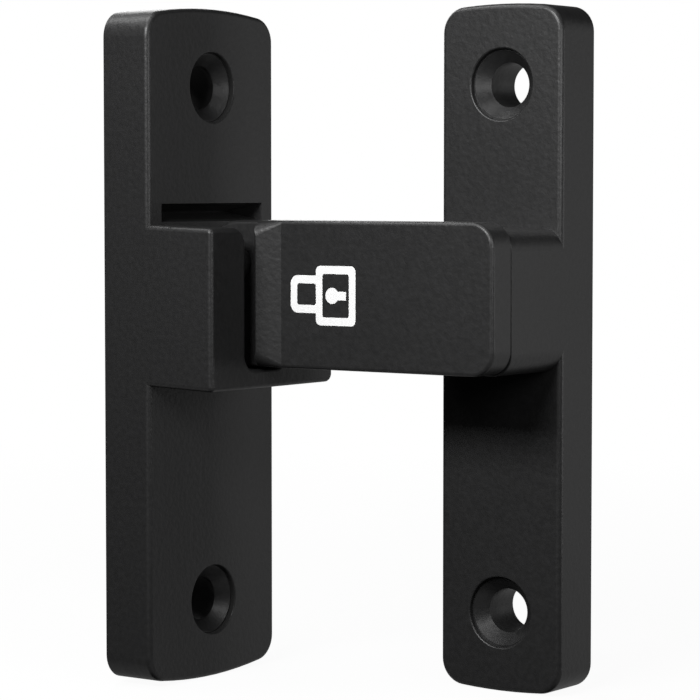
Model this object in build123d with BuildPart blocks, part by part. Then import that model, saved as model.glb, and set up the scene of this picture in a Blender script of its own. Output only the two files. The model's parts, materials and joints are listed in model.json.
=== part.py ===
"""Right-angle sliding door lock: a base with a flip-up bar, and a strike plate at ninety degrees to it.

Frame in millimetres: +X out of the base plate, +Y towards the strike plate's wall, +Z up.
The origin is the centre of the base plate's back face.
"""

import math
import os

from build123d import *

# Plates
PLATE_HEIGHT = 80.0
END_ARC_RADIUS = 69.0
PLATE_CORNER_RADIUS = 3.0
PLATE_EDGE_RADIUS = 0.6
BASE_WIDTH = 24.0
BASE_THICKNESS = 6.7
STRIKE_WIDTH = 16.45
STRIKE_THICKNESS = 7.0

# Screw holes, for 4 mm countersunk wood screws
SCREW_SPACING = 61.4
SCREW_BORE = 5.2
SCREW_CONE = 7.9
SCREW_CONE_ANGLE = 90.0
SCREW_STEP_BORE = 8.3
SCREW_STEP_DEPTH = 0.6
SCREW_RIM_RADIUS = 0.2

# Bar
BAR_HEIGHT = 17.15
BAR_THICKNESS = 3.75
BAR_MID_HEIGHT = 6.425
BAR_END_RADIUS = 2.8
BAR_EDGE_RADIUS = 0.45
BAR_BACK_RADIUS = 0.12
BAR_REACH = 48.55

# Hinge end of the bar: round heel, and a ramp that stands proud beside the hinge block
RAMP_PROUD = 1.03
RAMP_LENGTH = 3.36
RAMP_ROUND = 2.0
RAMP_EDGE_RADIUS = 0.3
HEEL_RADIUS = 5.0
HEEL_CLEARANCE = 1.3

# Hinge block on the base plate
BLOCK_REACH = 9.3
BLOCK_ROOT = 2.0
BLOCK_RAKE = 2.0
BLOCK_EDGE_RADIUS = 0.55
BLOCK_SIDE_RADIUS = 0.6
BLOCK_TOP_DROP = 0.85
LIP_THICKNESS = 2.25
LIP_CORNER_RADIUS = 1.0
FLOOR_GAP = 0.3
FLOOR_FILLET = 1.8
LEFT_CHEEK = 6.5
LEFT_CHEEK_ROUND = 1.9
RIGHT_CHEEK = 9.85
RIGHT_CHEEK_DROP = 0.8

# Slot in the base plate, above the hinge block
SLOT_WIDTH = 19.2
SLOT_HEIGHT = 2.15
SLOT_DEPTH = 4.5
SLOT_FLOOR_HEIGHT = 0.15
SLOT_LIFT = 0.3

# Hinge pin and washers
PIN_DIAMETER = 3.0
PIN_SEAT = 4.0
PIN_CHAMFER = 0.3
PIN_CLEARANCE = 0.05
WASHER_GAP = 1.25
WASHER_CLEARANCE = 0.1
WASHER_DIAMETER = 4.0

# Strike block and the stud that it catches
STRIKE_GAP = 0.12
STRIKE_BLOCK_DEPTH = 10.56
STRIKE_BLOCK_HEIGHT = 16.5
STRIKE_BLOCK_LOWERED = 0.47
STRIKE_BLOCK_RADIUS = 2.5
STRIKE_BLOCK_EDGE = 0.12
STUD_DIAMETER = 4.0
STUD_LENGTH = 4.6
STUD_CHAMFER = 0.4
GROOVE_CLEARANCE = 0.4

# Padlock symbol, lying with its shackle towards the hinge
SYMBOL_OFFSET = 1.4
SYMBOL_DEPTH = 0.2
SYMBOL_LINE = 0.93
SYMBOL_BODY_LENGTH = 5.6
SYMBOL_BODY_WIDTH = 6.86
SYMBOL_BODY_RADIUS = 0.65
SYMBOL_SHACKLE_LENGTH = 3.6
SYMBOL_SHACKLE_WIDTH = 4.34
SYMBOL_SHACKLE_RADIUS = 1.0
SYMBOL_SHACKLE_RAISED = 0.12
SYMBOL_INNER_RADIUS = 0.3
KEYHOLE_DIAMETER = 1.85
KEYHOLE_SETBACK = 2.3
KEYHOLE_STEM_LENGTH = 1.96
KEYHOLE_STEM_WIDTH = 1.0

# Cutters run past the faces that they open by this much
CUT_OVERRUN = 1.0

# Heights
bar_top = BAR_MID_HEIGHT + BAR_HEIGHT / 2
bar_bottom = BAR_MID_HEIGHT - BAR_HEIGHT / 2
block_top = bar_top - BLOCK_TOP_DROP
floor_height = bar_bottom - FLOOR_GAP
block_bottom = floor_height - LIP_THICKNESS
rake = math.radians(BLOCK_RAKE)
slot_bottom = block_top + BLOCK_REACH * math.tan(rake) + SLOT_LIFT
slot_taper = math.degrees(math.atan2((SLOT_HEIGHT - SLOT_FLOOR_HEIGHT) / 2, SLOT_DEPTH))
pin_height = bar_top - HEEL_RADIUS

# Stations along Y, counted from the base plate's left side
base_left = -BASE_WIDTH / 2
pocket_left = base_left + LEFT_CHEEK
ramp_front = pocket_left + WASHER_GAP
bar_front = ramp_front + RAMP_PROUD
bar_back = bar_front + BAR_THICKNESS
pocket_right = bar_back + WASHER_GAP
block_right = pocket_right + RIGHT_CHEEK
strike_block_front = bar_back + STRIKE_GAP
strike_front = strike_block_front + STRIKE_BLOCK_DEPTH
strike_back = strike_front + STRIKE_THICKNESS

# Stations along X
block_front = BASE_THICKNESS + BLOCK_REACH
heel_left = BASE_THICKNESS + HEEL_CLEARANCE
pin_x = heel_left + HEEL_RADIUS
ramp_end = block_front + RAMP_LENGTH
strike_x = BAR_REACH - STRIKE_WIDTH / 2

# Swing of the stud about the pin
stud_height = BAR_MID_HEIGHT
stud_swing = math.hypot(strike_x - pin_x, stud_height - pin_height)
stud_angle = math.degrees(math.atan2(stud_height - pin_height, strike_x - pin_x))
strike_block_middle = BAR_MID_HEIGHT - STRIKE_BLOCK_LOWERED
strike_block_top = strike_block_middle + STRIKE_BLOCK_HEIGHT / 2
groove_top = strike_block_top + STUD_DIAMETER + CUT_OVERRUN
groove_sweep = math.degrees(math.asin((groove_top - pin_height) / stud_swing)) - stud_angle

# Centre of the symbol's body along the bar
symbol_left = ramp_end + SYMBOL_OFFSET
body_left = symbol_left + SYMBOL_SHACKLE_LENGTH


def y_plane(y):
    """Plane at one station along Y, facing the front, with X to the right and Z up."""
    return Plane.XZ.offset(-y)


def plate_outline(width):
    """Draw an upright plate's face: straight sides, arched ends and rounded corners."""
    half = width / 2
    crown = PLATE_HEIGHT / 2
    shoulder = crown - (END_ARC_RADIUS - math.sqrt(END_ARC_RADIUS**2 - half**2))
    with BuildSketch() as outline:
        with BuildLine():
            ThreePointArc((-half, shoulder), (0, crown), (half, shoulder))
            Line((half, shoulder), (half, -shoulder))
            ThreePointArc((half, -shoulder), (0, -crown), (-half, -shoulder))
            Line((-half, -shoulder), (-half, shoulder))
        make_face()
        fillet(outline.vertices(), PLATE_CORNER_RADIUS)
    return outline.sketch


def screw_holes(face_plane, thickness):
    """Cut the two countersunk screw holes of a plate, each below a shallow step for the screw's head."""
    with Locations(face_plane):
        with GridLocations(0, SCREW_SPACING, 1, 2):
            CounterBoreHole(SCREW_BORE / 2, SCREW_STEP_BORE / 2, SCREW_STEP_DEPTH, thickness)
    with Locations(face_plane.offset(-SCREW_STEP_DEPTH)):
        with GridLocations(0, SCREW_SPACING, 1, 2):
            CounterSinkHole(SCREW_BORE / 2, SCREW_CONE / 2, thickness, SCREW_CONE_ANGLE)


def screw_rims(plate):
    """Find the edges of a plate's screw-head steps, at the mouth and at the foot of each."""
    circles = plate.edges().filter_by(GeomType.CIRCLE)
    return circles.filter_by(lambda edge: math.isclose(edge.radius, SCREW_STEP_BORE / 2))


# Hinge block, drawn on its front face and raked down from the plate, its pocket open at front and top
with BuildPart() as hinge_block:
    with BuildSketch(Plane.YZ.offset(block_front)) as block_face:
        with BuildLine():
            Polyline(
                (base_left, block_bottom),
                (block_right, block_bottom),
                (block_right, block_top - RIGHT_CHEEK_DROP),
                (pocket_right, block_top - RIGHT_CHEEK_DROP),
                (pocket_right, floor_height),
                (pocket_left, floor_height),
                (pocket_left, block_top),
                (base_left, block_top),
                close=True,
            )
        make_face()
        fillet(block_face.vertices().group_by(Axis.Y)[-1].sort_by(Axis.X)[-1], LEFT_CHEEK_ROUND)
        fillet(block_face.vertices().group_by(Axis.Y)[1], FLOOR_FILLET)
        fillet(block_face.vertices().group_by(Axis.Y)[0].sort_by(Axis.X)[-1], LIP_CORNER_RADIUS)
        fillet(block_face.vertices().group_by(Axis.X)[0], BLOCK_SIDE_RADIUS)
    extrude(amount=(BLOCK_REACH + BLOCK_ROOT) / math.cos(rake), dir=(-math.cos(rake), 0, math.sin(rake)))
    fillet(hinge_block.faces().sort_by(Axis.X)[-1].edges(), BLOCK_EDGE_RADIUS)

# Base plate: plate and hinge block in one casting, with its slot, screw holes and pin bore
with BuildPart() as base_plate:
    with BuildSketch(Plane.YZ):
        add(plate_outline(BASE_WIDTH))
    extrude(amount=BASE_THICKNESS)
    fillet(base_plate.faces().sort_by(Axis.X)[-1].edges(), PLATE_EDGE_RADIUS)
    add(hinge_block.part)
    with BuildSketch(Plane.YZ.offset(BASE_THICKNESS)):
        with Locations((0, slot_bottom + SLOT_HEIGHT / 2)):
            Rectangle(SLOT_WIDTH, SLOT_HEIGHT)
    extrude(amount=-SLOT_DEPTH, taper=slot_taper, mode=Mode.SUBTRACT)
    screw_holes(Plane.YZ.offset(BASE_THICKNESS), BASE_THICKNESS)
    fillet(screw_rims(base_plate).group_by(Axis.X)[-1], SCREW_RIM_RADIUS)
    with BuildSketch(y_plane(block_right)):
        with Locations((pin_x, pin_height)):
            Circle(PIN_DIAMETER / 2)
    extrude(amount=block_right - pocket_left + PIN_SEAT, mode=Mode.SUBTRACT)

# Hinge pin, driven in from the right side as far as its blind seat in the left cheek
with BuildPart() as hinge_pin:
    with BuildSketch(y_plane(block_right)):
        with Locations((pin_x, pin_height)):
            Circle(PIN_DIAMETER / 2)
    extrude(amount=block_right - pocket_left + PIN_SEAT)
    chamfer(hinge_pin.edges().filter_by(GeomType.CIRCLE), PIN_CHAMFER)


def friction_washer(seat, bar_side):
    """Make a washer that lies on one cheek and runs to within its clearance of the bar's side."""
    gap = seat - bar_side
    with BuildPart() as washer:
        with BuildSketch(y_plane(seat)):
            with Locations((pin_x, pin_height)):
                Circle(WASHER_DIAMETER / 2)
                Circle(PIN_DIAMETER / 2 + PIN_CLEARANCE, mode=Mode.SUBTRACT)
        extrude(amount=gap - math.copysign(WASHER_CLEARANCE, gap))
    return washer.part


def ramp_corner(front, radius):
    """Draw what is cut off an upper front corner of the bar to round it."""
    low = bar_top - radius
    back = front + radius
    sag = radius * (1 - math.sqrt(0.5))
    with BuildSketch() as corner:
        with BuildLine():
            ThreePointArc((front, low), (front + sag, bar_top - sag), (back, bar_top))
            Polyline(
                (back, bar_top),
                (back, bar_top + CUT_OVERRUN),
                (front - CUT_OVERRUN, bar_top + CUT_OVERRUN),
                (front - CUT_OVERRUN, low),
                (front, low),
            )
        make_face()
    return corner.sketch


# Cutter that rounds the ramp's upper edge: full size beside the block, as small as the bar's edge where it ends
with BuildPart() as ramp_cutter:
    with BuildSketch(Plane.YZ.offset(block_front)) as ramp_start:
        add(ramp_corner(ramp_front, RAMP_ROUND))
    with BuildSketch(Plane.YZ.offset(ramp_end)):
        add(ramp_corner(bar_front, BAR_EDGE_RADIUS))
    loft(ruled=True)
    extrude(ramp_start.sketch, amount=heel_left - block_front)

# Symbol outline, as it lies on the bar's front face
with BuildSketch(y_plane(bar_front)) as symbol_face:
    body_centre = (body_left + SYMBOL_BODY_LENGTH / 2, BAR_MID_HEIGHT)
    shackle_length = SYMBOL_SHACKLE_LENGTH + SYMBOL_LINE
    with Locations((symbol_left + shackle_length / 2, BAR_MID_HEIGHT + SYMBOL_SHACKLE_RAISED)):
        RectangleRounded(shackle_length, SYMBOL_SHACKLE_WIDTH, SYMBOL_SHACKLE_RADIUS)
        RectangleRounded(
            shackle_length - 2 * SYMBOL_LINE,
            SYMBOL_SHACKLE_WIDTH - 2 * SYMBOL_LINE,
            SYMBOL_INNER_RADIUS,
            mode=Mode.SUBTRACT,
        )
    with Locations(body_centre):
        RectangleRounded(SYMBOL_BODY_LENGTH, SYMBOL_BODY_WIDTH, SYMBOL_BODY_RADIUS)
        RectangleRounded(
            SYMBOL_BODY_LENGTH - 2 * SYMBOL_LINE,
            SYMBOL_BODY_WIDTH - 2 * SYMBOL_LINE,
            SYMBOL_INNER_RADIUS,
            mode=Mode.SUBTRACT,
        )
    with Locations((body_left + KEYHOLE_SETBACK, BAR_MID_HEIGHT)):
        Circle(KEYHOLE_DIAMETER / 2)
        Rectangle(KEYHOLE_STEM_LENGTH, KEYHOLE_STEM_WIDTH, align=(Align.MIN, Align.CENTER))

# Latch bar: flat bar with a ramp at its hinge end, pin bore, stud on its back and sunk bed of the symbol
with BuildPart() as latch_bar:
    with BuildSketch(y_plane(bar_back)) as bar_face:
        bar_length = BAR_REACH - heel_left
        with Locations((heel_left + bar_length / 2, BAR_MID_HEIGHT)):
            Rectangle(bar_length, BAR_HEIGHT)
        fillet(bar_face.vertices().group_by(Axis.X)[0], HEEL_RADIUS)
        fillet(bar_face.vertices().group_by(Axis.X)[-1], BAR_END_RADIUS)
    extrude(amount=BAR_THICKNESS)
    fillet(latch_bar.faces().sort_by(Axis.Y)[0].edges(), BAR_EDGE_RADIUS)
    fillet(latch_bar.faces().sort_by(Axis.Y)[-1].edges(), BAR_BACK_RADIUS)
    with BuildSketch(Plane.XY.offset(bar_bottom)):
        with BuildLine():
            Polyline(
                (block_front, ramp_front),
                (ramp_end, bar_front),
                (ramp_end, bar_front + BAR_EDGE_RADIUS),
                (block_front, bar_front + BAR_EDGE_RADIUS),
                close=True,
            )
        make_face()
    extrude(amount=BAR_HEIGHT)
    ramp_side = latch_bar.faces().filter_by_position(Axis.X, block_front, block_front)[0]
    fillet(ramp_side.edges().sort_by(Axis.Y)[0], RAMP_EDGE_RADIUS)
    add(ramp_cutter.part, mode=Mode.SUBTRACT)
    add(mirror(ramp_cutter.part, about=Plane.XY.offset(BAR_MID_HEIGHT), mode=Mode.PRIVATE), mode=Mode.SUBTRACT)
    with BuildSketch(y_plane(bar_back)):
        with Locations((strike_x, stud_height)):
            Circle(STUD_DIAMETER / 2)
    extrude(amount=-STUD_LENGTH)
    chamfer(latch_bar.faces().sort_by(Axis.Y)[-1].edges(), STUD_CHAMFER)
    with BuildSketch(y_plane(bar_back)):
        with Locations((pin_x, pin_height)):
            Circle(PIN_DIAMETER / 2 + PIN_CLEARANCE)
    extrude(amount=BAR_THICKNESS, mode=Mode.SUBTRACT)
    extrude(symbol_face.sketch, amount=-SYMBOL_DEPTH, mode=Mode.SUBTRACT)

# Padlock symbol: white fill, level with the bar's front face
with BuildPart() as padlock_symbol:
    extrude(symbol_face.sketch, amount=-SYMBOL_DEPTH)

# Strike plate: plate and block in one casting, with the groove that catches the stud
with BuildPart() as strike_block:
    with BuildSketch(y_plane(strike_front + STRIKE_THICKNESS / 2)):
        with Locations((strike_x, strike_block_middle)):
            RectangleRounded(STRIKE_WIDTH, STRIKE_BLOCK_HEIGHT, STRIKE_BLOCK_RADIUS)
    extrude(amount=STRIKE_BLOCK_DEPTH + STRIKE_THICKNESS / 2)
    fillet(strike_block.faces().sort_by(Axis.Y)[0].edges(), STRIKE_BLOCK_EDGE)

swing_line = CenterArc((pin_x, pin_height), stud_swing, stud_angle, groove_sweep)

with BuildPart() as strike_plate:
    with BuildSketch(y_plane(strike_back)):
        with Locations((strike_x, 0)):
            add(plate_outline(STRIKE_WIDTH))
    extrude(amount=STRIKE_THICKNESS)
    fillet(strike_plate.faces().sort_by(Axis.Y)[0].edges(), PLATE_EDGE_RADIUS)
    add(strike_block.part)
    screw_holes(y_plane(strike_front).shift_origin((strike_x, strike_front, 0)), STRIKE_THICKNESS)
    fillet(screw_rims(strike_plate).group_by(Axis.Y)[0], SCREW_RIM_RADIUS)
    with BuildSketch(y_plane(strike_block_front)):
        SlotArc(swing_line, STUD_DIAMETER + 2 * GROOVE_CLEARANCE)
    extrude(amount=-(STUD_LENGTH - STRIKE_GAP + GROOVE_CLEARANCE), mode=Mode.SUBTRACT)

pieces = {
    "base_plate": base_plate.part,
    "hinge_pin": hinge_pin.part,
    "friction_washer_left": friction_washer(pocket_left, bar_front),
    "friction_washer_right": friction_washer(pocket_right, bar_back),
    "latch_bar": latch_bar.part,
    "padlock_symbol": padlock_symbol.part,
    "strike_plate": strike_plate.part,
}

os.makedirs("parts", exist_ok=True)
for name, piece in pieces.items():
    piece.label = name
    export_step(piece, f"parts/{name}.step")
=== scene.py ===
"""Looks of a right-angle sliding door lock: black powder-coated castings, steel pin, white padlock symbol.

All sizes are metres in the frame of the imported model: +X out of the base plate, +Y towards the back of the
strike plate, +Z up, with the origin at the centre of the base plate's back face.
"""

from __future__ import annotations

import json
import logging
import math
from abc import ABC, abstractmethod
from dataclasses import dataclass, field, replace
from enum import Enum

import bpy
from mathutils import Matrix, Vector

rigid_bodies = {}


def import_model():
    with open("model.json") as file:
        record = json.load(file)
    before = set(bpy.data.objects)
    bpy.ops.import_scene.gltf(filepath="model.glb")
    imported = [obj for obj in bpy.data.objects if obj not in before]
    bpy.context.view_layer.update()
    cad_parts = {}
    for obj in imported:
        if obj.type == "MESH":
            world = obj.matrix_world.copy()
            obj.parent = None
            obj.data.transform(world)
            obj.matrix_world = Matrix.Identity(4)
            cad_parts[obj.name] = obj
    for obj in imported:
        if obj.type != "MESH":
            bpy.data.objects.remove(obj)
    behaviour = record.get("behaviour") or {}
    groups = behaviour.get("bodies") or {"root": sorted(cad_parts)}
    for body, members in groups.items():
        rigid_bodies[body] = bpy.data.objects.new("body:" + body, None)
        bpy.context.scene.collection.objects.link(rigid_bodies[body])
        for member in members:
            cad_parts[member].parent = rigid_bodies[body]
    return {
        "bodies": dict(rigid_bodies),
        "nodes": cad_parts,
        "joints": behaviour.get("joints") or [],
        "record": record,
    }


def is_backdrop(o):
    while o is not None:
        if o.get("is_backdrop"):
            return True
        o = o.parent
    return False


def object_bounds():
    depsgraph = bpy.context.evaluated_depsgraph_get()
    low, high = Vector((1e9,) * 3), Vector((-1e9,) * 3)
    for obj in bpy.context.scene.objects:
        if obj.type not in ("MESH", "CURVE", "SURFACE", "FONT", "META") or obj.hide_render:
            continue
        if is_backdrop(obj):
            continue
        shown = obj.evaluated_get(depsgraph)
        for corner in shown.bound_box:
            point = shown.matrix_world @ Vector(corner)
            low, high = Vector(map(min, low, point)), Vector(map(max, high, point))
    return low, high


LOG = logging.getLogger("door_lock")
MM = 0.001

Rgb = tuple[float, float, float]
Xyz = tuple[float, float, float]
Span = tuple[float, float]
Feed = bpy.types.NodeSocket | float | Rgb

WHITE: Rgb = (1.0, 1.0, 1.0)
FULL = 1.0
RISING: Span = (0.0, 1.0)
FALLING: Span = (1.0, 0.0)


class Slot(Enum):
    """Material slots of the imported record."""

    COAT = "black_coat"
    STEEL = "pin_steel"
    NYLON = "washer_nylon"
    FILL = "white_fill"


class Sheet:
    """A node tree under construction, with short ways to add and join its nodes."""

    def __init__(self, tree: bpy.types.NodeTree) -> None:
        """Start from an empty tree.

        Args:
            tree: The node tree to fill.
        """
        self.tree = tree
        tree.nodes.clear()

    def add(self, kind: str, **settings: object) -> bpy.types.Node:
        """Add a node and set its plain properties.

        Args:
            kind: Blender's name of the node type.
            settings: Properties of the node, by name.

        Returns:
            The new node.
        """
        node = self.tree.nodes.new(kind)
        for name, value in settings.items():
            setattr(node, name, value)
        return node

    def feed(self, socket: bpy.types.NodeSocket, value: Feed) -> None:
        """Fill one input.

        Args:
            socket: The input.
            value: Another node's output, a number or a colour.
        """
        if isinstance(value, bpy.types.NodeSocket):
            self.tree.links.new(value, socket)
        elif socket.type == "RGBA":
            socket.default_value = (*value, FULL)
        else:
            socket.default_value = value

    def put(self, node: bpy.types.Node, **values: Feed) -> bpy.types.Node:
        """Fill a node's inputs by name.

        Args:
            node: The node whose inputs are filled.
            values: Input names, with underscores for spaces, and what goes in.

        Returns:
            The same node.
        """
        for name, value in values.items():
            self.feed(node.inputs[name.replace("_", " ")], value)
        return node

    def math(self, operation: str, *values: Feed) -> bpy.types.NodeSocket:
        """Work out one sum.

        Args:
            operation: Blender's name of the sum.
            values: What goes in, in order.

        Returns:
            The socket that holds the result.
        """
        node = self.add("ShaderNodeMath", operation=operation)
        for socket, value in zip(node.inputs, values):
            self.feed(socket, value)
        return node.outputs["Value"]

    def product(self, first: Feed, *others: Feed) -> bpy.types.NodeSocket:
        """Multiply two or more values.

        Args:
            first: The first value.
            others: The values that it is multiplied by.

        Returns:
            The socket that holds the result.
        """
        result = first
        for other in others:
            result = self.math("MULTIPLY", result, other)
        return result

    def within(self, value: bpy.types.NodeSocket, span: Span) -> bpy.types.NodeSocket:
        """Mark with 1 where a value lies between two limits, and with 0 elsewhere."""
        low, high = span
        return self.product(self.math("GREATER_THAN", value, low), self.math("LESS_THAN", value, high))

    def ramp(
        self, value: bpy.types.NodeSocket, span: Span, ends: Span, shape: str = "SMOOTHSTEP"
    ) -> bpy.types.NodeSocket:
        """Turn a stretch of one value into a stretch of another, level on both sides.

        Args:
            value: The value that is read.
            span: Where the stretch starts and stops.
            ends: What comes out there.
            shape: Blender's name of the curve between the two.

        Returns:
            The socket that holds the result.
        """
        node = self.add("ShaderNodeMapRange", interpolation_type=shape)
        self.put(node, Value=value, From_Min=span[0], From_Max=span[1], To_Min=ends[0], To_Max=ends[1])
        return node.outputs["Result"]

    def mix(self, mask: bpy.types.NodeSocket, low: Feed, high: Feed) -> bpy.types.NodeSocket:
        """Blend two colours by a mask.

        Args:
            mask: The mask.
            low: Colour where the mask is 0.
            high: Colour where the mask is 1.

        Returns:
            The socket that holds the colour.
        """
        node = self.add("ShaderNodeMix", data_type="RGBA")
        sockets = {socket.identifier: socket for socket in (*node.inputs, *node.outputs)}
        self.feed(sockets["Factor_Float"], mask)
        self.feed(sockets["A_Color"], low)
        self.feed(sockets["B_Color"], high)
        return sockets["Result_Color"]

    def layer(
        self, mask: bpy.types.NodeSocket, under: bpy.types.NodeSocket, over: bpy.types.NodeSocket
    ) -> bpy.types.NodeSocket:
        """Blend two shaders by a mask.

        Args:
            mask: The mask.
            under: Shader where the mask is 0.
            over: Shader where the mask is 1.

        Returns:
            The socket that holds the shader.
        """
        node = self.add("ShaderNodeMixShader")
        for socket, value in zip(node.inputs, (mask, under, over)):
            self.feed(socket, value)
        return node.outputs["Shader"]

    def place(self) -> bpy.types.NodeSocket:
        """Find the place on the piece, in metres."""
        return self.add("ShaderNodeTexCoord").outputs["Object"]

    def axes(self, vector: bpy.types.NodeSocket) -> bpy.types.bpy_prop_collection:
        """Split a place or a direction into its X, Y and Z."""
        return self.put(self.add("ShaderNodeSeparateXYZ"), Vector=vector).outputs


@dataclass
class SharedEffects:
    """Shader node groups that several finishes use."""

    fine_share: float = 0.06
    grain_detail: float = 2.0
    patch_detail: float = 3.0
    grain: bpy.types.NodeTree = field(init=False)

    def __post_init__(self) -> None:
        """Build each group once."""
        self.grain = self._grain()

    @staticmethod
    def _group(
        name: str, inputs: tuple[str, ...], outputs: tuple[str, ...]
    ) -> tuple[Sheet, bpy.types.Node, bpy.types.Node]:
        """Open a new group with float sockets.

        Args:
            name: The group's name.
            inputs: Names of the inputs.
            outputs: Names of the outputs.

        Returns:
            The group's sheet, its input node and its output node.
        """
        tree = bpy.data.node_groups.new(name, "ShaderNodeTree")
        sheet = Sheet(tree)
        for label in inputs:
            tree.interface.new_socket(label, in_out="INPUT", socket_type="NodeSocketFloat")
        for label in outputs:
            tree.interface.new_socket(label, in_out="OUTPUT", socket_type="NodeSocketFloat")
        return sheet, sheet.add("NodeGroupInput"), sheet.add("NodeGroupOutput")

    @staticmethod
    def _noise(sheet: Sheet, scale: bpy.types.NodeSocket, detail: float) -> bpy.types.NodeSocket:
        """Add one noise over the piece.

        Args:
            sheet: The group under construction.
            scale: How many grains there are to a metre.
            detail: How many finer layers it has.

        Returns:
            The socket that holds the noise.
        """
        node = sheet.add("ShaderNodeTexNoise")
        sheet.put(node, Vector=sheet.place(), Scale=scale, Detail=detail)
        return node.outputs["Fac"]

    def _grain(self) -> bpy.types.NodeTree:
        """Build the surface grain: a height for the bump, a mask of fine specks and a mask of soft patches.

        Returns:
            The node group.
        """
        sheet, given, result = self._group(
            "surface_grain", ("Fine", "Coarse", "Patch"), ("Height", "Speck", "Patch")
        )
        fine = self._noise(sheet, given.outputs["Fine"], self.grain_detail)
        coarse = self._noise(sheet, given.outputs["Coarse"], self.grain_detail)
        patch = self._noise(sheet, given.outputs["Patch"], self.patch_detail)
        height = sheet.math("ADD", sheet.product(fine, self.fine_share), coarse)
        sheet.put(result, Height=height, Speck=coarse, Patch=patch)
        return sheet.tree


@dataclass(frozen=True, kw_only=True)
class PaintedShadeWalls(ABC):
    """Walls of a hollow that opens towards +X, painted nearly black as painted shade, and made matt.

    The centre is Y and Z of the hollow. Floor and mouth are the lowest and the highest X of its walls.
    """

    centre: tuple[float, float]
    floor: float
    mouth: float
    # painted shade: the near-black colour laid on the walls where shadow falls
    colour: Rgb = (0.002, 0.002, 0.002)
    roughness: float = 0.85

    @abstractmethod
    def mask(self, sheet: Sheet) -> bpy.types.NodeSocket:
        """Mark the walls with 1 and the rest with 0."""


@dataclass(frozen=True, kw_only=True)
class PaintedShadeRecess(PaintedShadeWalls):
    """A slot or a bore whose walls get painted shade, which deepens over a short fade below its mouth."""

    half: tuple[float, float]
    fade: float

    def mask(self, sheet: Sheet) -> bpy.types.NodeSocket:
        """Mark the walls of the hollow.

        Args:
            sheet: The material under construction.

        Returns:
            A mask that rises from 0 at the mouth to 1 inside.
        """
        spot = sheet.axes(sheet.place())
        depth = sheet.ramp(spot["X"], (self.mouth - self.fade, self.mouth), FALLING)
        mask = sheet.product(depth, sheet.math("GREATER_THAN", spot["X"], self.floor))
        for axis, centre, half in zip(("Y", "Z"), self.centre, self.half):
            mask = sheet.product(mask, sheet.within(spot[axis], (centre - half, centre + half)))
        return mask


@dataclass(frozen=True, kw_only=True)
class PaintedShadeSeatRim(PaintedShadeWalls):
    """The short round wall at the mouth of a screw seat, painted dark as painted shade."""

    radii: Span

    def mask(self, sheet: Sheet) -> bpy.types.NodeSocket:
        """Mark the wall.

        Args:
            sheet: The material under construction.

        Returns:
            A mask that is 1 on the wall and 0 elsewhere.
        """
        spot = sheet.axes(sheet.place())
        across = sheet.math("SUBTRACT", spot["Y"], self.centre[0])
        upward = sheet.math("SUBTRACT", spot["Z"], self.centre[1])
        square = sheet.math("ADD", sheet.product(across, across), sheet.product(upward, upward))
        ring = sheet.within(sheet.math("SQRT", square), self.radii)
        return sheet.product(ring, sheet.within(spot["X"], (self.floor, self.mouth)))


@dataclass(frozen=True, kw_only=True)
class Finish(ABC):
    """A surface whose colour, gloss and bump follow the shared grain."""

    name: str
    base: Rgb
    roughness: Span
    grain_size: float
    peel_size: float
    patch_size: float
    bump: float

    def material(self, effects: SharedEffects) -> bpy.types.Material:
        """Build the finish.

        Args:
            effects: The shared node groups.

        Returns:
            The material.
        """
        material = bpy.data.materials.new(self.name)
        material.use_nodes = True
        sheet = Sheet(material.node_tree)
        grain = sheet.add("ShaderNodeGroup", node_tree=effects.grain)
        sheet.put(grain, Fine=1 / self.grain_size, Coarse=1 / self.peel_size, Patch=1 / self.patch_size)
        bump = sheet.add("ShaderNodeBump")
        sheet.put(bump, Height=grain.outputs["Height"], Strength=self.bump, Distance=self.grain_size)
        shader = sheet.add("ShaderNodeBsdfPrincipled")
        sheet.put(shader, Normal=bump.outputs["Normal"])
        self.paint(sheet, grain, shader)
        sheet.put(sheet.add("ShaderNodeOutputMaterial"), Surface=shader.outputs["BSDF"])
        return material

    def gloss(self, sheet: Sheet, grain: bpy.types.Node) -> bpy.types.NodeSocket:
        """Vary the roughness from patch to patch."""
        return sheet.ramp(grain.outputs["Patch"], RISING, self.roughness, "LINEAR")

    @abstractmethod
    def paint(self, sheet: Sheet, grain: bpy.types.Node, shader: bpy.types.Node) -> None:
        """Give the shader its colour and its gloss."""


@dataclass(frozen=True, kw_only=True)
class CoatFinish(Finish):
    """Grained paint or moulded plastic: lighter on the grain, with painted shade in some recesses."""

    lifted: Rgb
    specular: float
    shaded_recesses: tuple[PaintedShadeWalls, ...] = ()

    def paint(self, sheet: Sheet, grain: bpy.types.Node, shader: bpy.types.Node) -> None:
        """Give the shader its colour and its gloss.

        Args:
            sheet: The material under construction.
            grain: Its node of the shared grain.
            shader: The shader to fill.
        """
        tint = sheet.mix(grain.outputs["Speck"], self.base, self.lifted)
        gloss = self.gloss(sheet, grain)
        # painted shade: each listed recess is darkened to its near-black colour and made rougher
        for hollow in self.shaded_recesses:
            shade_mask = hollow.mask(sheet)
            tint = sheet.mix(shade_mask, tint, hollow.colour)
            gloss = sheet.math("MAXIMUM", gloss, sheet.product(shade_mask, hollow.roughness))
        sheet.put(shader, Base_Color=tint, Roughness=gloss, Specular_IOR_Level=self.specular)


@dataclass(frozen=True, kw_only=True)
class SteelFinish(Finish):
    """Ground steel with a fine grain and duller patches."""

    worn: Rgb

    def paint(self, sheet: Sheet, grain: bpy.types.Node, shader: bpy.types.Node) -> None:
        """Give the shader its colour and its gloss.

        Args:
            sheet: The material under construction.
            grain: Its node of the shared grain.
            shader: The shader to fill.
        """
        tint = sheet.mix(grain.outputs["Patch"], self.base, self.worn)
        sheet.put(shader, Base_Color=tint, Roughness=self.gloss(sheet, grain), Metallic=FULL)


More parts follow.
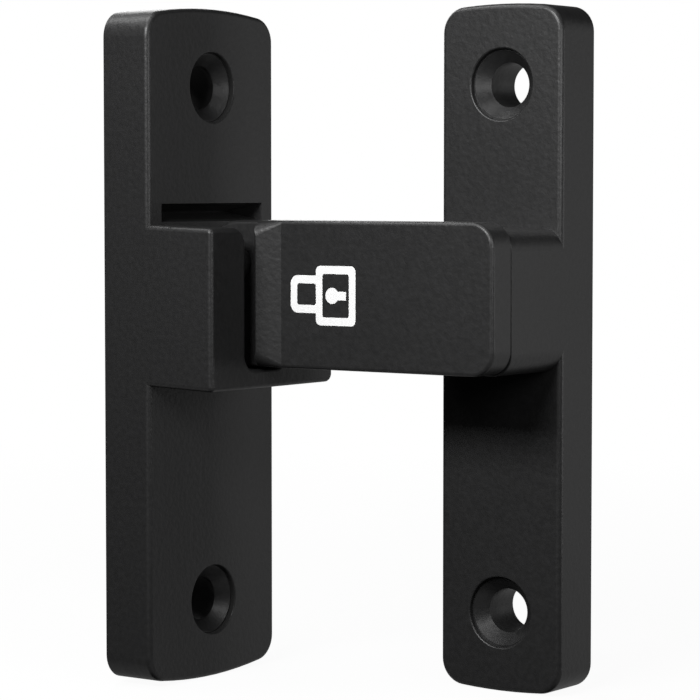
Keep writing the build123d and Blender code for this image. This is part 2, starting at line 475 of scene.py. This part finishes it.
PLATE_FACE = 6.7 * MM
SCREW_RISE = 30.7 * MM
BORE_HALF = 2.65 * MM
BORE_MOUTH_DEPTH = 1.5 * MM
RIM_DEPTH = 1.0 * MM
RIM_EDGE = 0.02 * MM

# Painted shade: the slot, the two bores and the two screw-seat walls of the base plate are painted nearly
# black where shadow falls in them.
SLOT_SHADE = PaintedShadeRecess(
    centre=(0.0, 15.85 * MM),
    half=(9.7 * MM, 1.15 * MM),
    floor=2.0 * MM,
    mouth=PLATE_FACE,
    fade=1.2 * MM,
)
LOW_BORE_SHADE = PaintedShadeRecess(
    centre=(0.0, -SCREW_RISE),
    half=(BORE_HALF, BORE_HALF),
    floor=0.4 * MM,
    mouth=PLATE_FACE - BORE_MOUTH_DEPTH,
    fade=1.5 * MM,
)
HIGH_BORE_SHADE = replace(LOW_BORE_SHADE, centre=(0.0, SCREW_RISE))
LOW_RIM_SHADE = PaintedShadeSeatRim(
    centre=LOW_BORE_SHADE.centre,
    radii=(4.02 * MM, 4.2 * MM),
    floor=PLATE_FACE - RIM_DEPTH,
    mouth=PLATE_FACE - RIM_EDGE,
)
HIGH_RIM_SHADE = replace(LOW_RIM_SHADE, centre=HIGH_BORE_SHADE.centre)

POWDER_COAT = CoatFinish(
    name="black_powder_coat",
    base=(0.009, 0.009, 0.0091),
    lifted=(0.023, 0.023, 0.0234),
    roughness=(0.38, 0.44),
    specular=0.5,
    grain_size=0.16 * MM,
    peel_size=0.6 * MM,
    patch_size=14 * MM,
    bump=0.23,
)
# The base plate's coat, with painted shade in its slot, bores and screw-seat walls.
BASE_COAT_AND_SHADE = replace(
    POWDER_COAT,
    name="base_powder_coat_and_shade",
    shaded_recesses=(SLOT_SHADE, LOW_BORE_SHADE, HIGH_BORE_SHADE, LOW_RIM_SHADE, HIGH_RIM_SHADE),
)
NYLON = CoatFinish(
    name="black_nylon",
    base=(0.003, 0.003, 0.003),
    lifted=(0.005, 0.005, 0.005),
    roughness=(0.6, 0.75),
    specular=0.3,
    grain_size=0.1 * MM,
    peel_size=0.6 * MM,
    patch_size=4 * MM,
    bump=0.1,
)
WHITE_FILL = CoatFinish(
    name="white_paint_fill",
    base=(0.88, 0.88, 0.88),
    lifted=(0.93, 0.93, 0.93),
    roughness=(0.4, 0.55),
    specular=0.5,
    grain_size=0.12 * MM,
    peel_size=0.7 * MM,
    patch_size=3 * MM,
    bump=0.06,
)
PIN_STEEL = SteelFinish(
    name="ground_steel",
    base=(0.55, 0.55, 0.56),
    worn=(0.42, 0.41, 0.4),
    roughness=(0.28, 0.4),
    grain_size=0.06 * MM,
    peel_size=0.3 * MM,
    patch_size=1.2 * MM,
    bump=0.15,
)


@dataclass(frozen=True)
class DressedGroup:
    """CAD nodes that share one finish. Where mirrored is false, other pieces don't reflect them."""

    slot: Slot
    finish: Finish
    nodes: tuple[str, ...]
    mirrored: bool = True

    def dress(self, frame: dict, effects: SharedEffects) -> None:
        """Give the nodes their finish.

        Args:
            effects: The shared node groups.
        """
        material = self.finish.material(effects)
        for name in self.nodes:
            node = frame["nodes"][name]
            node.visible_glossy = self.mirrored
            node.data.materials.clear()
            node.data.materials.append(material)
            LOG.info("%s, of slot %s, has finish %s", name, self.slot.value, self.finish.name)


LOCK = (
    DressedGroup(Slot.COAT, BASE_COAT_AND_SHADE, ("base_plate",)),
    DressedGroup(Slot.COAT, POWDER_COAT, ("latch_bar", "strike_plate")),
    DressedGroup(Slot.STEEL, PIN_STEEL, ("hinge_pin",)),
    DressedGroup(Slot.NYLON, NYLON, ("friction_washer_left", "friction_washer_right")),
    DressedGroup(Slot.FILL, WHITE_FILL, ("padlock_symbol",), mirrored=False),
)


@dataclass(frozen=True)
class Softbox:
    """A rectangular soft lamp that stands off the lock and faces it.

    Its angles are degrees, its sizes metres and its power watts.
    """

    name: str
    azimuth: float
    elevation: float
    distance: float
    width: float
    height: float
    power: float


LAMPS = (
    Softbox("key", 3.7, 32.3, 244 * MM, 138 * MM, 65 * MM, 0.63),
    Softbox("upper_left", -62.0, 61.0, 180 * MM, 90 * MM, 72 * MM, 0.105),
    Softbox("near_right", 65.0, 20.0, 100 * MM, 50 * MM, 40 * MM, 0.025),
    Softbox("rear_right", 120.0, 0.0, 600 * MM, 158 * MM, 126 * MM, 0.3),
    Softbox("above", 35.0, 70.0, 300 * MM, 150 * MM, 120 * MM, 0.13),
    Softbox("rear_left", 235.0, 25.0, 250 * MM, 160 * MM, 120 * MM, 0.2),
)


@dataclass
class Studio:
    """Camera, lamps, floor and backdrop.

    The spans of the backdrop and the table are stretches of a direction's Y or Z, over which they fade.
    """

    target: Xyz = (24.3 * MM, 3.61 * MM, -0.2 * MM)
    azimuth: float = 35.635
    elevation: float = 3.398
    distance: float = 332.2 * MM
    field_of_view: float = 14.078
    clip_start: float = 10 * MM
    lamps: tuple[Softbox, ...] = LAMPS
    floor_fade: Span = (75 * MM, 300 * MM)
    floor_sides: int = 96
    floor_colour: Rgb = (0.85, 0.85, 0.85)
    floor_share: float = 0.05
    room_light: float = 0.003
    backdrop_gloss: float = 0.37
    backdrop_side: Span = (0.5, 0.75)
    backdrop_top: Span = (0.2, 0.4)
    table_gloss: float = 0.3
    table_front: Span = (-0.75, -0.35)
    table_front_share: float = 0.1
    table_edge: Span = (-0.35, -0.2)
    table_shade: Span = (-0.95, -0.8)

    @staticmethod
    def direction(azimuth: float, elevation: float) -> Vector:
        """Point from the target towards a station around it.

        Args:
            azimuth: Degrees from the front, positive to the right.
            elevation: Degrees above the floor.

        Returns:
            A unit vector.
        """
        turn = math.radians(azimuth)
        rise = math.radians(elevation)
        flat = math.cos(rise)
        return Vector((math.sin(turn) * flat, -math.cos(turn) * flat, math.sin(rise)))

    def stand(self, thing: bpy.types.Object, azimuth: float, elevation: float, distance: float) -> None:
        """Stand a camera or lamp off the target and aim it there.

        Args:
            thing: The object to place.
            azimuth: Degrees from the front, positive to the right.
            elevation: Degrees above the floor.
            distance: Metres from the target.
        """
        away = self.direction(azimuth, elevation)
        thing.location = Vector(self.target) + away * distance
        thing.rotation_euler = (-away).to_track_quat("-Z", "Y").to_euler()
        bpy.context.scene.collection.objects.link(thing)

    def camera(self) -> None:
        """Set up the camera at the photograph's angle."""
        data = bpy.data.cameras.new("camera")
        data.angle = math.radians(self.field_of_view)
        data.clip_start = self.clip_start
        camera = bpy.data.objects.new("camera", data)
        self.stand(camera, self.azimuth, self.elevation, self.distance)
        bpy.context.scene.camera = camera

    def light(self, box: Softbox) -> None:
        """Add one soft lamp.

        Args:
            box: Its place, size and power.
        """
        data = bpy.data.lights.new(box.name, "AREA")
        data.shape = "RECTANGLE"
        data.size = box.width
        data.size_y = box.height
        data.energy = box.power
        lamp = bpy.data.objects.new(box.name, data)
        lamp.visible_camera = False
        self.stand(lamp, box.azimuth, box.elevation, box.distance)

    def floor(self, level: float) -> None:
        """Lay a round pale floor that fades into the backdrop and keeps a faint shadow.

        Args:
            level: Its height.
        """
        rim = self.floor_fade[1]
        turns = [2 * math.pi * side / self.floor_sides for side in range(self.floor_sides)]
        corners = [(rim * math.cos(turn), rim * math.sin(turn), level) for turn in turns]
        mesh = bpy.data.meshes.new("floor")
        mesh.from_pydata(corners, [], [tuple(range(self.floor_sides))])
        floor = bpy.data.objects.new("floor", mesh)
        floor.visible_glossy = False
        floor.visible_diffuse = False
        bpy.context.scene.collection.objects.link(floor)
        mesh.materials.append(self.floor_material())
        floor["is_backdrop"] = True

    def floor_material(self) -> bpy.types.Material:
        """Build the floor's finish: a share of pale paint near the lock, plain white towards its rim.

        Returns:
            The material.
        """
        material = bpy.data.materials.new("pale_floor")
        material.use_nodes = True
        sheet = Sheet(material.node_tree)
        reach = sheet.put(sheet.add("ShaderNodeVectorMath", operation="LENGTH"), Vector=sheet.place())
        share = sheet.ramp(reach.outputs["Value"], self.floor_fade, (self.floor_share, 0.0))
        paint = sheet.put(sheet.add("ShaderNodeBsdfDiffuse"), Color=self.floor_colour).outputs["BSDF"]
        plain = sheet.put(sheet.add("ShaderNodeEmission"), Color=WHITE, Strength=FULL).outputs["Emission"]
        ray = sheet.add("ShaderNodeLightPath").outputs
        shown = sheet.layer(ray["Is Camera Ray"], paint, sheet.layer(share, plain, paint))
        sheet.put(sheet.add("ShaderNodeOutputMaterial"), Surface=shown)
        return material

    def backdrop(self) -> None:
        """Fill the world: white to the camera, and in reflections a backdrop and a table in a dim room."""
        world = bpy.data.worlds.new("studio")
        bpy.context.scene.world = world
        world.use_nodes = True
        sheet = Sheet(world.node_tree)
        towards = sheet.axes(sheet.add("ShaderNodeTexCoord").outputs["Generated"])
        behind = sheet.ramp(towards["Y"], self.backdrop_side, RISING)
        low = sheet.ramp(towards["Z"], self.backdrop_top, (self.backdrop_gloss, 0.0))
        table = sheet.ramp(towards["Z"], self.table_edge, (self.table_gloss, 0.0))
        front = sheet.ramp(towards["Y"], self.table_front, (self.table_front_share, FULL))
        shade = sheet.ramp(towards["Z"], self.table_shade, RISING)
        ray = sheet.add("ShaderNodeLightPath").outputs
        mirrored = sheet.math("MAXIMUM", ray["Is Glossy Ray"], ray["Is Transmission Ray"])
        pale = sheet.math("MAXIMUM", sheet.product(behind, low), sheet.product(table, front))
        shown = sheet.math("MAXIMUM", sheet.product(mirrored, pale, shade), ray["Is Camera Ray"])
        strength = sheet.math("MAXIMUM", shown, self.room_light)
        back = sheet.put(sheet.add("ShaderNodeBackground"), Color=WHITE, Strength=strength)
        sheet.put(sheet.add("ShaderNodeOutputWorld"), Surface=back.outputs["Background"])

    def build(self, floor_level: float) -> None:
        """Set up the whole studio.

        Args:
            floor_level: Height of the floor.
        """
        self.camera()
        for box in self.lamps:
            self.light(box)
        self.floor(floor_level)
        self.backdrop()
        bpy.context.scene.view_settings.view_transform = "Standard"
        LOG.info("studio ready with %d lamps", len(self.lamps))


def clear_scene() -> None:
    """Remove what a new Blender file holds."""
    for thing in list(bpy.data.objects):
        bpy.data.objects.remove(thing)


def main() -> None:
    """Build the dressed lock and its studio."""
    logging.basicConfig(level=logging.INFO)
    clear_scene()
    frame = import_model()
    cad_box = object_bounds()
    effects = SharedEffects()
    for group in LOCK:
        group.dress(frame, effects)
    lowest, _ = cad_box
    Studio().build(floor_level=lowest[2])


if __name__ == "__main__":
    main()
